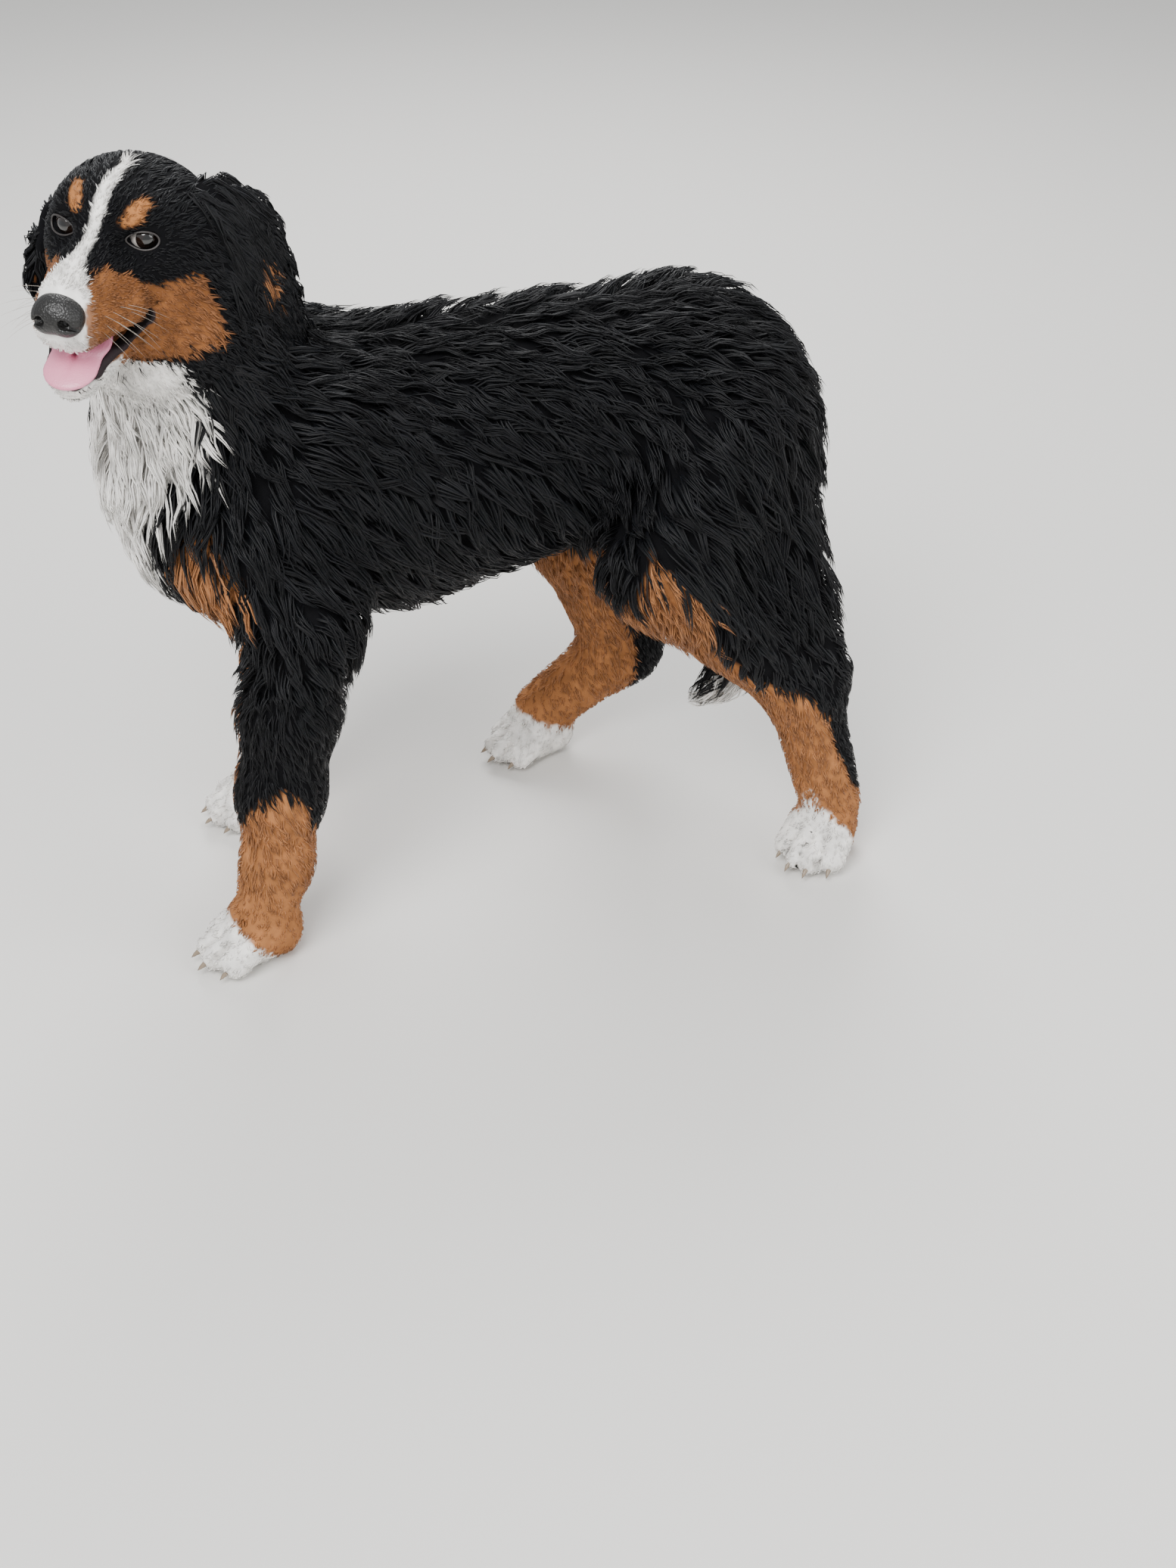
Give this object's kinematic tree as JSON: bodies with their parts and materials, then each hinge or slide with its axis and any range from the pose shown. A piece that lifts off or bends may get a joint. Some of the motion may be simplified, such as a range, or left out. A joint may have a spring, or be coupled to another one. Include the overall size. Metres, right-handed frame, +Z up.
{
  "type": "bernese mountain dog",
  "caption": "Life-size still model of a young long-coated mountain dog, standing with its head turned to its left and its mouth open.",
  "frame": {"origin": "on the floor, under the middle of the animal's bounding box", "axes": "+Z up, the chest and nose towards -X, the dog's left side towards -Y"},
  "size_m": [0.6918, 0.3598, 0.7154],
  "materials": {
    "coat_black": "long glossy black hair",
    "coat_rust": "short rust hair",
    "coat_white": "short white hair",
    "nose_leather": "moist bare nose leather",
    "tongue_flesh": "moist pink flesh",
    "eye_dark": "wet dark brown eye"
  },
  "bodies": {
    "root": {"head": "coat_black", "jaw": "coat_rust", "nose": "nose_leather", "tongue": "tongue_flesh", "eye_left": "eye_dark", "eye_right": "eye_dark", "ear_left": "coat_black", "ear_right": "coat_black", "neck": "coat_black", "chest": "coat_black", "loin": "coat_black", "rump": "coat_black", "tail": "coat_black", "foreleg_left": "coat_black", "pastern_left": "coat_rust", "forepaw_left": "coat_white", "foreleg_right": "coat_black", "pastern_right": "coat_rust", "forepaw_right": "coat_white", "thigh_left": "coat_black", "shank_left": "coat_black", "hock_left": "coat_rust", "hindpaw_left": "coat_white", "thigh_right": "coat_black", "shank_right": "coat_rust", "hock_right": "coat_rust", "hindpaw_right": "coat_white"}
  },
  "joints": []
}
